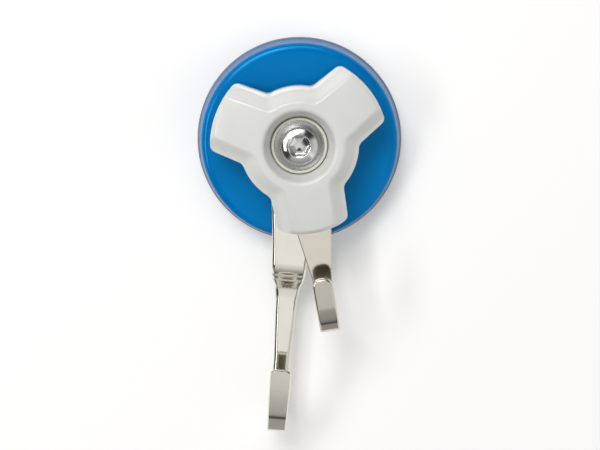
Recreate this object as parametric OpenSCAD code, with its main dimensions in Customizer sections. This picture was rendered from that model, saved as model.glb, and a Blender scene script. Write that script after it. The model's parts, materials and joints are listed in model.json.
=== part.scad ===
// Twist-lock suction twin hook.
// A round suction base, a three-lobed locking knob and two bent steel hooks that swing on the base's boss.
// Sizes are in millimetres. The wall face lies at Z = 0, Z points away from the wall and Y points up the wall.

/* [Suction pad] */
// Outer diameter of the soft pad
pad_d = 63; // [58:0.5:70]
// Thickness of the pad under the lift plate
pad_t = 2.2; // [1.8:0.1:2.6]
// Thickness of the pad's lip under the housing
lip_t = 1.2; // [0.8:0.1:1.6]
// Width of lip that shows around the housing
lip_show = 0.4; // [0.2:0.1:0.8]

/* [Housing] */
// Height of the front face above the wall face
housing_h = 9; // [8.6:0.1:12]
// Side wall thickness
housing_wall = 2.2; // [1.6:0.1:3]
// Front wall thickness
face_t = 2.4; // [1.8:0.1:2.6]
// Rounding of the front edge
edge_r = 2; // [1:0.1:3]
// Radius lost from the foot to the front edge
side_draft = 1; // [0.2:0.1:2]
// Number of stiffening ribs inside
rib_count = 6; // [3:1:12]
// Thickness of a rib
rib_t = 1.4; // [1:0.1:2]

/* [Lock] */
// Travel of the lift plate
lift = 1.8; // [1:0.1:2]
// Turn of the knob from open to locked, in degrees
lock_turn = 90; // [60:5:100]
// Diameter of the lift stem
stem_d = 9.6; // [9:0.1:11]
// Width of the stem across its two flats
stem_flats = 8; // [7.8:0.1:8.6]
// Wall of the turning cam sleeve
sleeve_wall = 1.75; // [1.4:0.05:2.2]
// Wall of the boss that the hooks swing on
boss_wall = 1.8; // [1.4:0.1:2.4]
// Diameter of the lift plate
plate_d = 34; // [28:1:38]
// Thickness of the lift plate
plate_t = 1.2; // [1:0.1:1.4]
// Wire of the return spring
spring_wire = 0.6; // [0.4:0.1:0.7]
// Turns of the return spring
spring_turns = 3; // [2:0.5:3]

/* [Hooks] */
// Thickness of the flat strip
strip_t = 2; // [1.6:0.1:2.6]
// Width of metal around the eye
eye_w = 2.8; // [2:0.1:4]
// Half width that the straight edges would have at the pivot
root_half_w = 9.4; // [8.5:0.1:10.5]
// Angle of the long hook from straight down
long_angle = -4.7; // [-20:0.1:20]
// Pivot to the bottom of the long hook
long_reach = 89.8; // [80:0.2:105]
// Height of the long hook's tip above its bottom
long_tip = 21; // [16:0.2:26]
// Clear gap between the long hook's strip and its tip
long_gap = 12.4; // [10:0.2:16]
// Inner radius of the long hook's bends
long_bend = 6; // [3:0.1:6]
// Pivot to the start of the step in the long hook
step_at = 37.4; // [34:0.2:40]
// Depth of the step towards the wall
step_drop = 4.3; // [3.2:0.1:5]
// Inner radius of the step's two bends
step_bend = 3.4; // [2.4:0.1:4]
// Half width of the long hook's shoulder
shoulder_half_w = 4.6; // [4:0.1:5.4]
// Half width of the long hook just after the step
strip_half_w = 3.4; // [2.8:0.05:3.8]
// Half width of the long hook's lower end and tip
long_end_half_w = 2.58; // [2.2:0.02:3]
// Angle of the short hook from straight down
short_angle = 9.4; // [-20:0.1:20]
// Pivot to the bottom of the short hook
short_reach = 57.2; // [54:0.2:66]
// Height of the short hook's tip above its bottom
short_tip = 17.4; // [14:0.1:19]
// Clear gap between the short hook's strip and its tip
short_gap = 13.6; // [10:0.2:16]
// Inner radius of the short hook's bends
short_bend = 3.6; // [3:0.1:6]
// Half width of the short hook where its taper ends
short_neck_half_w = 2.85; // [2.4:0.05:3.4]
// Half width of the short hook's bottom and tip
short_end_half_w = 2.55; // [2.2:0.05:3]

/* [Knob] */
// Distance from the axis to the outer end of a lobe
lobe_reach = 26.85; // [24:0.1:29]
// Width of a lobe at its foot
lobe_w = 21.8; // [18:0.1:24]
// Diameter of the hub at its foot
hub_d = 35.8; // [33:0.2:40]
// Height of the knob from its foot to its top
knob_h = 10; // [9:0.1:13]
// How far the side walls lean in from foot to top
wall_lean = 4; // [2.5:0.1:4.5]
// Fall of a lobe's top from the dish to its outer end
lobe_fall = 2.2; // [1:0.1:3]
// Thickness of the knob's walls
knob_wall = 2; // [1.5:0.1:2.6]
// Thickness of the dish's floor
floor_t = 2; // [1.6:0.1:3]
// Angle of the first lobe
lobe_angle = 39.6; // [0:0.2:120]

/* [Fasteners] */
// Thread diameter of the screw
screw_d = 6; // [5:1:6]
// Diameter of the screw's head
head_d = 10.5; // [10:0.1:11]
// Height of the screw's head
head_h = 3.2; // [2.8:0.1:4]
// Hex socket across its flats
hex_af = 5; // [4:1:5]
// Length of the screw under its head
screw_len = 12; // [10:1:13]
// Diameter of the screw's washer
washer_d = 16.8; // [15:0.2:18]
// Thickness of the screw's washer
washer_t = 1.2; // [1:0.1:1.6]
// Thickness of the nylon thrust washer
thrust_t = 0.7; // [0.5:0.1:1]
// Thickness of the thin washers beside the hooks
shim_t = 0.4; // [0.3:0.1:0.8]
// Thickness of the retaining ring
ring_t = 0.8; // [0.6:0.1:1]

/* [Hidden] */
$fn = 96;
// radial gap of turning and sliding fits, and the gap between faces that slide
run_gap = 0.05;
slide_gap = 0.1;
ramps = 3;
ramp_span = 112;
cam_gap = 0.15;
wave_t = 0.3;
wave_h = 0.6;
wave_n = 3;
groove_d = 0.5;
seat_t = 0.4;
flange_t = 0.9;
ramp_h = lift * ramp_span / lock_turn;

// radii
pad_r = pad_d / 2;
foot_r = pad_r - lip_show;
front_r = foot_r - side_draft;
cup_r = front_r - housing_wall;
plug_r = cup_r - 0.2;
stem_r = stem_d / 2;
sleeve_in = stem_r + run_gap;
sleeve_out = sleeve_in + sleeve_wall;
boss_in = sleeve_out + slide_gap;
boss_r = boss_in + boss_wall;
eye_bore = boss_r + run_gap;
eye_r = eye_bore + eye_w;
shim_r = eye_r - 0.6;
flange_r = stem_r + 2.6;
spring_top_r = max(flange_r, boss_r) + 2 + spring_wire;
spring_foot_r = plate_d / 2 - 1 - spring_wire;
washer_r = washer_d / 2;
dish_r = washer_r + 0.35;
hub_r = hub_d / 2;
core_r = dish_r + knob_wall;
mouth_r = dish_r + 3.1;

// heights, from the wall face outwards
ceiling_z = housing_h - face_t;
boss_floor_z = ceiling_z + 1.6;
plate_z = pad_t + plate_t;
flange_z = plate_z + flange_t;
long_z = housing_h + shim_t + run_gap;
spacer_z = long_z + strip_t + run_gap;
short_z = spacer_z + shim_t + run_gap;
wave_z = short_z + strip_t + run_gap;
ring_z = wave_z + wave_h + run_gap;
boss_z = ring_z + ring_t + 0.45;
ramp_z = boss_floor_z + 0.8;
knob_under_z = boss_z + 0.3;
dish_z = knob_under_z + floor_t;
stem_z = dish_z + thrust_t + 2 * run_gap;
head_z = stem_z + washer_t;
foot_z = boss_z - 0.7;
top_z = foot_z + knob_h;

// the long hook's step
step_angle = 42;
step_turn = 2 * step_bend + strip_t;
riser = (step_drop - step_turn * (1 - cos(step_angle))) / sin(step_angle);
step_end = step_at + step_turn * sin(step_angle) + riser * cos(step_angle);

function arc(cx, cy, r, a0, a1, n) =
    [for (i = [0:n]) let (a = a0 + (a1 - a0) * i / n) [cx + r * cos(a), cy + r * sin(a)]];

// height of the cam at an angle: three ramps that rise clockwise, each with a short steep return
function cam_rise(a) =
    let (b = ((-a % 120) + 120) % 120)
    b <= ramp_span ? ramp_h * b / ramp_span : ramp_h * (120 - b) / (120 - ramp_span);

// angles at which the cam is drawn, so that its peaks are kept
cam_steps = [for (k = [0:ramps - 1]) for (i = [0:14]) 120 * k + 8 * i];

// closed ring between two radii, with one height function below and one above
module ring_form(r_in, r_out, angles, low, high) {
    n = len(angles);
    points = [for (i = [0:n - 1]) for (p = [[r_in, low[i]], [r_out, low[i]], [r_out, high[i]], [r_in, high[i]]])
        [p[0] * cos(angles[i]), p[0] * sin(angles[i]), p[1]]];
    faces = [for (i = [0:n - 1]) for (e = [0:3]) for (half = [0, 1])
        let (a = 4 * i + e, b = 4 * i + (e + 1) % 4, c = 4 * ((i + 1) % n) + (e + 1) % 4, d = 4 * ((i + 1) % n) + e)
        e == 2 ? (half == 0 ? [a, b, d] : [b, c, d]) : (half == 0 ? [a, b, c] : [a, c, d])];
    polyhedron(points, faces, convexity = 6);
}

// flat round washer
module washer_form(r_in, r_out, z, t) {
    translate([0, 0, z])
        difference() {
            cylinder(h = t, r = r_out);
            translate([0, 0, -1])
                cylinder(h = t + 2, r = r_in);
        }
}

// outline of the stem: a circle with two flats
module stem_outline(extra) {
    intersection() {
        circle(r = stem_r + extra);
        square([stem_d + 4, stem_flats + 2 * extra], center = true);
    }
}

module suction_pad() {
    color([0.70, 0.74, 0.78])
        rotate_extrude()
            polygon([[0, 0], [pad_r - 0.25, 0], [pad_r, 0.25], [pad_r, lip_t], [plug_r, lip_t], [plug_r, pad_t],
                     [0, pad_t]]);
}

module housing() {
    color([0.01, 0.42, 0.72])
        difference() {
            union() {
                rotate_extrude()
                    polygon(concat(
                        [[0, ceiling_z], [cup_r, ceiling_z], [cup_r, lip_t], [foot_r, lip_t]],
                        arc(front_r - edge_r, housing_h - edge_r, edge_r, 0, 90, 8),
                        [[boss_r, housing_h], [boss_r, ring_z - run_gap / 2],
                         [boss_r - groove_d, ring_z - run_gap / 2],
                         [boss_r - groove_d, ring_z + ring_t + run_gap / 2],
                         [boss_r, ring_z + ring_t + run_gap / 2], [boss_r, boss_z - 0.2], [boss_r - 0.2, boss_z],
                         [boss_in, boss_z], [boss_in, boss_floor_z], [0, boss_floor_z]]));
                for (i = [0:rib_count - 1])
                    rotate([0, 0, 360 * (i + 0.5) / rib_count])
                        translate([plate_d / 2 + 1.5, -rib_t / 2, pad_t + 0.8])
                            cube([cup_r - plate_d / 2 - 1, rib_t, ceiling_z - pad_t - 0.3]);
            }
            translate([0, 0, ceiling_z - 1])
                linear_extrude(height = 4)
                    stem_outline(slide_gap);
        }
}

module lift_plate() {
    color([0.72, 0.73, 0.74])
        washer_form(stem_r - 1.5, plate_d / 2, pad_t, plate_t);
}

module lift_stem() {
    color([0.80, 0.66, 0.36])
        difference() {
            union() {
                translate([0, 0, pad_t])
                    cylinder(h = plate_t + 0.2, r = stem_r - 1.5);
                translate([0, 0, plate_z])
                    cylinder(h = flange_t, r = flange_r);
                translate([0, 0, plate_z])
                    linear_extrude(height = stem_z - plate_z)
                        stem_outline(0);
            }
            translate([0, 0, head_z - screw_len - 0.6])
                cylinder(h = screw_len + 2, r = screw_d / 2 + 0.02);
        }
}

// conical spring that folds flat inside itself
module return_spring() {
    rings = spring_turns * 16;
    low = plate_z + spring_wire / 2 + run_gap;
    high = ceiling_z - seat_t - spring_wire / 2 - run_gap;
    points = [for (i = [0:rings]) for (s = [0:5])
        let (u = i / rings, a = 360 * spring_turns * u, r = spring_foot_r + (spring_top_r - spring_foot_r) * u,
             w = r + spring_wire / 2 * cos(60 * s))
        [w * cos(a), w * sin(a), low + (high - low) * u + spring_wire / 2 * sin(60 * s)]];
    sides = [for (i = [0:rings - 1]) for (s = [0:5]) for (half = [0, 1])
        let (a = 6 * i + s, b = 6 * i + (s + 1) % 6, c = 6 * (i + 1) + (s + 1) % 6, d = 6 * (i + 1) + s)
        half == 0 ? [a, b, c] : [a, c, d]];
    foot = [for (s = [1:4]) [0, s + 1, s]];
    end = [for (s = [1:4]) [6 * rings, 6 * rings + s, 6 * rings + s + 1]];
    echo("spring self gap", norm([(spring_foot_r - spring_top_r), high - low]) / spring_turns - spring_wire);
    color([0.62, 0.63, 0.65])
        polyhedron(points, concat(sides, foot, end), convexity = 10);
}

module spring_seat() {
    color([0.72, 0.73, 0.74])
        washer_form(spring_top_r - spring_wire / 2 - 0.8, spring_top_r + spring_wire / 2 + 1.2, ceiling_z - seat_t, seat_t);
}

module cam_seat() {
    color([0.20, 0.21, 0.22])
        ring_form(stem_r + 0.2, boss_in - 0.08, cam_steps, [for (a = cam_steps) boss_floor_z],
                  [for (a = cam_steps) ramp_z + cam_rise(a)]);
}

module cam_sleeve() {
    color([0.86, 0.86, 0.83])
        union() {
            washer_form(sleeve_in, sleeve_out, ramp_z + ramp_h + 0.6, dish_z - ramp_z - ramp_h - 0.6);
            ring_form(sleeve_in + 0.06, sleeve_out - 0.01, cam_steps,
                      [for (a = cam_steps) ramp_z + cam_gap + cam_rise(a)],
                      [for (a = cam_steps) ramp_z + ramp_h + 0.8]);
            difference() {
                translate([0, 0, dish_z - 0.8])
                    cylinder(h = 0.8, r = dish_r - 0.8, $fn = 6);
                translate([0, 0, dish_z - 2])
                    cylinder(h = 4, r = sleeve_in + 0.3);
            }
        }
}

// edge of the knob's leaning wall from its foot to its rounded top, for a half width at the foot
function lean_edge(half, top, brim) =
    let (lean = atan2(wall_lean, knob_h), r = 1.4)
    concat([[half, foot_z], [half, foot_z + brim]],
           arc(half - wall_lean - 0.1, top - r, r, lean, 90, 3));

// one lobe: the leaning section pulled outwards, then cut to its round end and its falling top
module knob_lobe() {
    lobe = lean_edge(lobe_w / 2, top_z - 0.1, 1.2);
    intersection() {
        translate([mouth_r + 0.35, 0, 0])
            rotate([90, 0, 90])
                linear_extrude(height = lobe_reach)
                    polygon(concat(lobe, [for (i = [len(lobe) - 1:-1:0]) [-lobe[i][0], lobe[i][1]]]));
        rotate_extrude()
            polygon(concat(
                [[dish_r, foot_z], [lobe_reach, foot_z], [lobe_reach, foot_z + 2]],
                arc(lobe_reach - 1.6, top_z - lobe_fall - 1.8, 1.4, 0, 80, 3),
                [[mouth_r, top_z - 0.25], [dish_r, top_z - 0.25]]));
    }
}

// hollow inside one lobe
module lobe_hollow() {
    half = lobe_w / 2 - knob_wall;
    intersection() {
        rotate([90, 0, 90])
            linear_extrude(height = lobe_reach)
                polygon([[half, foot_z - 1], [half, foot_z + 0.5], [half - wall_lean + 0.5, top_z - knob_wall - 0.6],
                         [wall_lean - 0.5 - half, top_z - knob_wall - 0.6], [-half, foot_z + 0.5], [-half, foot_z - 1]]);
        rotate_extrude()
            polygon([[core_r + 0.6, foot_z - 2], [lobe_reach - knob_wall, foot_z - 2],
                     [lobe_reach - knob_wall, top_z - lobe_fall - knob_wall - 0.8],
                     [core_r + 0.6, top_z - knob_wall - 0.3]]);
    }
}

module knob() {
    color([0.90, 0.90, 0.88])
        difference() {
            union() {
                // hub with its floor and the hollow around its core
                rotate_extrude()
                    polygon(concat([[sleeve_out + 0.02, knob_under_z], [core_r, knob_under_z],
                                    [core_r, top_z - knob_wall - 0.2],
                                    [hub_r - wall_lean - knob_wall / 2, top_z - knob_wall - 0.4],
                                    [hub_r - knob_wall, foot_z + 0.6], [hub_r - knob_wall, foot_z]],
                                   lean_edge(hub_r, top_z, 0.8), [[sleeve_out + 0.02, top_z]]));
                for (k = [0:2])
                    rotate([0, 0, lobe_angle + 120 * k])
                        knob_lobe();
            }
            for (k = [0:2])
                rotate([0, 0, lobe_angle + 120 * k])
                    lobe_hollow();
            // dish with a rounded mouth
            rotate_extrude()
                polygon(concat(
                    [[0, dish_z], [dish_r, dish_z]],
                    [for (i = [0:6]) let (a = 90 * i / 6)
                        [mouth_r - (mouth_r - dish_r) * cos(a), top_z - (knob_h / 2 - 1) * (1 - sin(a))]],
                    [[mouth_r, top_z + 1], [0, top_z + 1]]));
            translate([0, 0, dish_z - 0.8 - run_gap])
                cylinder(h = knob_h, r = dish_r - 0.75, $fn = 6);
        }
}

module thrust_washer() {
    color([0.88, 0.85, 0.74])
        washer_form(stem_r + 0.1, washer_r - 0.3, dish_z + run_gap, thrust_t);
}

module screw_washer() {
    color([0.80, 0.80, 0.78])
        difference() {
            translate([0, 0, stem_z])
                rotate_extrude()
                    polygon([[0, 0], [washer_r - 0.2, 0], [washer_r, 0.2], [washer_r, washer_t - 0.5],
                             [washer_r - 0.5, washer_t], [0, washer_t]]);
            translate([0, 0, stem_z - 1])
                cylinder(h = washer_t + 2, r = screw_d / 2 + 0.2);
        }
}

module cap_screw() {
    color([0.78, 0.79, 0.80])
        difference() {
            union() {
                translate([0, 0, head_z])
                    rotate_extrude()
                        polygon(concat([[0, 0], [head_d / 2, 0], [head_d / 2, head_h - 1.4]],
                                       arc(head_d / 2 - 1.4, head_h - 1.4, 1.4, 0, 90, 6), [[0, head_h]]));
                translate([0, 0, head_z - screw_len])
                    cylinder(h = screw_len + 1, r = screw_d / 2);
            }
            translate([0, 0, head_z + head_h - 2.4])
                cylinder(h = 4, r = hex_af / 2 / cos(30), $fn = 6);
        }
}

module rear_washer() {
    color([0.20, 0.21, 0.22])
        washer_form(eye_bore, shim_r, housing_h, shim_t);
}

module hook_spacer() {
    color([0.20, 0.21, 0.22])
        washer_form(eye_bore, shim_r, spacer_z, shim_t);
}

// quarter or half ring in the side view: the part of a bend between two angles
module bend_sector(r_in, t, a0, a1) {
    far = 3 * (r_in + t);
    mid = (a0 + a1) / 2;
    intersection() {
        difference() {
            circle(r = r_in + t);
            circle(r = r_in);
        }
        polygon([[0, 0], [far * cos(a0), far * sin(a0)], [far * cos(mid), far * sin(mid)],
                 [far * cos(a1), far * sin(a1)]]);
    }
}

// side view of the strip up to the middle of its bottom: distance from the pivot against height
module strap_side(z, reach, drop, gap, bend) {
    low_z = z - drop;
    bend_s = reach - strip_t - bend;
    if (drop > 0) {
        n = [sin(step_angle), cos(step_angle)];
        d = [cos(step_angle), -sin(step_angle)];
        c1 = [step_at, z - step_bend];
        c2 = c1 + step_turn * n + riser * d;
        p = c1 + step_bend * n;
        translate([-eye_r - 1, z])
            square([step_at + eye_r + 1, strip_t]);
        translate(c1)
            bend_sector(step_bend, strip_t, 90 - step_angle, 90);
        polygon([p, p + riser * d, p + riser * d + strip_t * n, p + strip_t * n]);
        translate(c2)
            bend_sector(step_bend, strip_t, -90 - step_angle, -90);
        translate([step_end, low_z])
            square([bend_s - step_end, strip_t]);
    } else {
        translate([-eye_r - 1, low_z])
            square([bend_s + eye_r + 1, strip_t]);
    }
    translate([bend_s, low_z + strip_t + bend])
        bend_sector(bend, strip_t, -90, 0);
    translate([reach - strip_t, low_z + strip_t + bend])
        square([strip_t, gap / 2 - bend]);
}

// side view of the bent-up tip, from the middle of the bottom
module tip_side(low_z, reach, tip, gap, bend) {
    bend_s = reach - strip_t - bend;
    translate([reach - strip_t, low_z + strip_t + gap / 2])
        square([strip_t, gap / 2 - bend]);
    translate([bend_s, low_z + strip_t + gap - bend])
        bend_sector(bend, strip_t, 0, 90);
    translate([reach - tip, low_z + strip_t + gap])
        square([bend_s - reach + tip, strip_t]);
}

// side view turned so that it runs down the wall
module from_side(width) {
    rotate([0, 0, -90])
        rotate([90, 0, 0])
            linear_extrude(height = width, center = true)
                children();
}

// front view, as a list of [distance from the pivot, half width], pulled through all heights
module from_front(rows) {
    n = len(rows);
    translate([0, 0, -20])
        linear_extrude(height = 80)
            polygon(concat([for (i = [0:n - 1]) [rows[i][1], -rows[i][0]]],
                           [for (i = [n - 1:-1:0]) [-rows[i][1], -rows[i][0]]]));
}

// a whole hook: shape = [lowest strip height, reach, tip, drop, gap, bend, half width of the end]
module hook_form(shape, rows) {
    z = shape[0];
    reach = shape[1];
    tip_at = shape[1] - shape[2];
    half = shape[6];
    corner = half * 0.85;
    tip_rows = concat([for (a = [0:15:90]) [tip_at + corner * (1 - sin(a)), half - corner * (1 - cos(a))]],
                      [[reach + 1, half]]);
    difference() {
        union() {
            translate([0, 0, z])
                cylinder(h = strip_t, r = eye_r);
            intersection() {
                from_side(3 * eye_r)
                    strap_side(z, reach, shape[3], shape[4], shape[5]);
                from_front(rows);
            }
            intersection() {
                from_side(3 * eye_r)
                    tip_side(z - shape[3], reach, shape[2], shape[4], shape[5]);
                from_front(tip_rows);
            }
        }
        translate([0, 0, z - 1])
            cylinder(h = strip_t + 2, r = eye_bore);
    }
}

module long_hook() {
    shape = [long_z, long_reach, long_tip, step_drop, long_gap, long_bend, long_end_half_w];
    color([0.86, 0.84, 0.78])
        rotate([0, 0, long_angle])
            hook_form(shape, [[0, root_half_w], [step_at + 2.2, shoulder_half_w], [step_end, strip_half_w],
                              [long_reach - long_tip, long_end_half_w], [long_reach + 1, long_end_half_w]]);
}

module short_hook() {
    shape = [short_z, short_reach, short_tip, 0, short_gap, short_bend, short_end_half_w];
    neck_at = short_reach - short_tip + 2.8;
    color([0.86, 0.84, 0.78])
        rotate([0, 0, short_angle])
            hook_form(shape, [[0, root_half_w], [neck_at, short_neck_half_w], [short_reach - strip_t, short_end_half_w],
                              [short_reach + 1, short_end_half_w]]);
}

module wave_washer() {
    steps = [for (i = [0:47]) 7.5 * i];
    rise = wave_h - wave_t;
    color([0.62, 0.63, 0.65])
        ring_form(eye_bore, shim_r, steps,
                  [for (a = steps) wave_z + rise * (1 - cos(wave_n * a)) / 2],
                  [for (a = steps) wave_z + wave_t + rise * (1 - cos(wave_n * a)) / 2]);
}

module retaining_ring() {
    ring_in = boss_r - groove_d + run_gap;
    color([0.45, 0.46, 0.48])
        translate([0, 0, ring_z])
            linear_extrude(height = ring_t)
                difference() {
                    union() {
                        circle(r = boss_r + 1.3);
                        for (side = [-1, 1])
                            rotate([0, 0, 90 + side * 11])
                                translate([boss_r + 1.1, 0])
                                    circle(r = 1.3);
                    }
                    circle(r = ring_in);
                    translate([-0.9, 0])
                        square([1.8, boss_r + 5]);
                    for (side = [-1, 1])
                        rotate([0, 0, 90 + side * 11])
                            translate([boss_r + 1.2, 0])
                                circle(r = 0.6);
                }
}

housing();
suction_pad();
lift_plate();
lift_stem();
return_spring();
spring_seat();
cam_seat();
cam_sleeve();
knob();
thrust_washer();
screw_washer();
cap_screw();
rear_washer();
long_hook();
hook_spacer();
short_hook();
wave_washer();
retaining_ring();
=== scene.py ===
import json
import math

import bmesh
import bpy
import numpy as np
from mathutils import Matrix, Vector


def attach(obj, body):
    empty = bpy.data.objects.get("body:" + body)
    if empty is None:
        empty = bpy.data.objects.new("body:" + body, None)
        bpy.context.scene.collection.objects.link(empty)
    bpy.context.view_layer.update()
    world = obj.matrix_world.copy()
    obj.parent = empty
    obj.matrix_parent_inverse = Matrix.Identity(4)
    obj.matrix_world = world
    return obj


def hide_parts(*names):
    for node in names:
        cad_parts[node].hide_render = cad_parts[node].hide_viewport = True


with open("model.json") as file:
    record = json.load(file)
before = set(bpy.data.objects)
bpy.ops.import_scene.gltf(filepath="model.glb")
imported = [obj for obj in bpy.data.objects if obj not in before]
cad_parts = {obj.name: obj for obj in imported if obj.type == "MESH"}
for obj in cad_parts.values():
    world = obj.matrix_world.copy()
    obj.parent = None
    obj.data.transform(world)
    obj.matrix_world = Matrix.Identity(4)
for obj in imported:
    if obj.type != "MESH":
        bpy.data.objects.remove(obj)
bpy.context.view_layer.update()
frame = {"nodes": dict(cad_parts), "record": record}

MM = 0.001

# Points round a piece
WIDE_STEPS = 256
TURN_STEPS = 192
SCREW_STEPS = 96
KNOB_STEPS = 720

# Pad and housing, in millimetres
PAD_R = 31.5
PAD_TOP_Z = 2.2
LIP_Z = 1.2
LIP_GAP = 0.06
PLUG_R = 27.7
PLUG_CHAMFER = 0.2
LIP_ROUND = 0.96
LIP_INNER_R = 30.5
FOOT_R = 31.1
FOOT_ROUND = 0.3
FOOT_EDGE = ((0.35, 0.0), (0.1, 0.08), (0.0, FOOT_ROUND))
FRONT_R = 30.1
FACE_Z = 9.0
SIDE_TOP_Z = 7.0
EDGE_WIDE_R = 3.6
EDGE_TIGHT_R = 1.7
EDGE_TURN = math.radians(28)
CUP_R = 27.9
CUP_CHAMFER = 0.6
CEILING_Z = 6.6
SEAT_R = 10.9
SEAT_DEEP = 0.1
SEAT_LEAN = 0.05
BOSS_R = 8.5
BOSS_IN = 6.7
BOSS_Z = 15.9
BOSS_FLOOR_Z = 8.2
BOSS_CHAMFER = 0.15
BOSS_ROOT_R = 0.5
STEM_HOLE_R = 5.1
GROOVE_Z = (14.6, 15.5)
GROOVE_DEEP = 0.5

# Radii of rings on the flat faces, which keep their triangles short
FACE_RINGS = (20.0, 12.0)
PAD_RINGS = (10.0, 24.0)
PLUG_RING = 12.0

# Knob's plan
HUB_R = 17.9
LOBE_COUNT = 3
LOBE_REACH = 26.85
LOBE_HALF = 10.9
LOBE_TAPER = 0.028
LOBE_MID_R = 22.0
LOBE_ANGLE = 39.6
CORNER_R = 1.3
BEHIND_LOBE = -50.0
SEARCH_R = (8.0, 27.5)

# Knob's heights and walls
KNOB_FOOT_Z = 15.2
KNOB_UNDER_Z = 16.2
KNOB_TOP_Z = 25.2
LOBE_FALL = 3.2
FALL_POWER = 1.5
END_Z = 20.9
END_SLOPE = 1.7
WALL_RISE = 3.9
WALL_WIDE = 4.26
SHELF_WIDE = 1.1
SHELF_SLOPE = 0.32
RIM_DROP = 0.5
RIM_R = 0.14

# Bands over which the knob's faces blend into each other
PLAN_BLEND = 1.0
SHELF_BLEND = 0.5
END_BLEND = 1.4
WALL_BLEND = 1.5
TOP_BLEND = 0.8

# Depths inside the knob's outline where its wall has a ring of points, closer where it turns
WALL_LEVELS = (0.0, 0.04, 0.1, 0.18, 0.28, 0.4, 0.55, 0.75, 0.9, 1.05, 1.2, 1.4, 1.7, 2.2, 2.7, 3.1, 3.4, 3.6,
               3.8, 3.95, 4.1, 4.2, 4.3, 4.4, 4.5, 4.65, 4.8, 4.95)

# Knob's dish and hollow
DISH_R = 8.75
DISH_Z = 18.2
MOUTH_R = 11.85
MOUTH_EDGE = 10.9
MOUTH_ROUND = 1.5
MOUTH_DEEP = 5.0
TOP_INNER_R = 12.9
NECK_R = 8.1
NECK_Z = 17.3
KNOB_BORE = 6.75
CORE_R = 10.75
HOLLOW_Z = 21.9
HOLLOW_EDGE_Z = 21.4
TOP_STEPS = 24
MOUTH_STEPS = 12

# Rounded foot of the knob, as distances in and up, and the part of its height up to the last ring
KNOB_FOOT = ((0.18, 0.0), (0.05, 0.06), (0.0, 0.2))
SKIRT_PART = 0.6

# Inside of the hollow, as depths inside the outline and heights
HOLLOW = ((5.6, HOLLOW_Z), (5.1, HOLLOW_EDGE_Z), (1.9, KNOB_FOOT_Z + 0.25), (1.7, KNOB_FOOT_Z))

# Both hooks: strip, eye and the lean of the J's web
STRIP_T = 2.0
ROOT_HALF = 9.4
EYE_R = 11.35
EYE_BORE = 8.55
EYE_STEPS = 64
BORE_ROUND = 0.25
BORE_TURN = 0.07
FIRST_RUNG = 14.0
RUNG_STEPS = 11
WEB_LEAN = 144.0
WEB_BEND = 1.5
J_HEADING = math.radians(60)

# Long hook: angle from straight down, height of its middle, reach, length and height of its J
LONG_ANGLE = -4.6
LONG_Z = 10.45
LONG_REACH = 89.75
LONG_TIP = 21.2
LONG_RISE = 15.6
STEP_AT = 37.8
STEP_DROP = 4.0
STEP_ANGLE = 36.0
STEP_BENDS = (4.4, 3.0)
RIPPLE_START = 0.25
RIPPLE_GAP = 0.8
RIPPLE_R = 1.2
RIPPLE_ANGLE = 25.0
LONG_BACK_R = 4.0
LONG_WEB = 4.6
LONG_BENDS = ((6.0, 150), (14.0, 160), (60.0, 170))
LONG_END_HALF = (2.8, 3.3)
LONG_CORNER = 1.6
LONG_EDGES = ((0.42, 50, 0.3), (1.1, 38, 0.75, 0.85))

# Long hook's half widths by distance from the pivot, with one between by distance past the step
LONG_STRAP = ((0, ROOT_HALF), (30.0, 5.85), (42.0, 5.2), (44.0, 4.7))
STEP_FOOT = (1.2, 3.4)
LONG_STRIP = ((56.0, 3.1), (LONG_REACH - LONG_TIP, 2.5), (LONG_REACH - 2.0, 2.8), (LONG_REACH + 1, 2.8))

# Short hook
SHORT_ANGLE = 9.55
SHORT_Z = 12.95
SHORT_REACH = 57.2
SHORT_TIP = 17.4
SHORT_RISE = 15.2
SHORT_NECK = 2.8
SHORT_BACK_R = 4.6
SHORT_WEB = 2.2
SHORT_BENDS = ((5.0, 151), (32.0, 158.5), (5.0, 171.3))
SHORT_END_HALF = (3.0, 3.1)
SHORT_CORNER = 2.6
SHORT_EDGES = ((0.7,), (0.25,))
SHORT_STRIP = ((SHORT_REACH - SHORT_TIP + SHORT_NECK, 3.0), (SHORT_REACH - STRIP_T, 2.95),
               (SHORT_REACH + 1, 2.95))

# Screw and washer
WASHER_R = 8.4
WASHER_Z = (19.0, 20.2)
WASHER_BORE = 3.3
WASHER_RIM_R = 7.5
WASHER_EDGE = ((0.3, 0.0), (0.1, 0.1), (0.0, 0.3))
WASHER_RIM = ((0.0, -0.1), (0.0, 0.5), (0.04, 0.58), (0.12, 0.61))
WASHER_DISH_TOP = (0.2, 0.6)
WASHER_DISH_STEP = (0.4, 0.085)
WASHER_DISH_STEPS = 7
DOME_R = 5.6
DOME_TOP_R = 3.42
DOME_EDGE_R = 0.5
DOME_TURN = (math.radians(14), math.radians(30))
HEAD_Z = (20.2, 23.4)
HEX_FLAT = 5.0
HEX_DEEP = 2.4
HEX_WIDER = 0.2

# Screw's recess, as scales of its hexagon with heights from its floor, then depths from the head's top
RECESS_FLOOR = ((0.45, -0.12), (0.86, 0.0), (0.93, 0.12))
RECESS_MOUTH = ((0.985, 0.42), (1.0, 0.34), (1.045, 0.2))

# Screw's shank
SHANK_R = 2.98
SHANK_Z = 8.25


# Meshes

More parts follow.
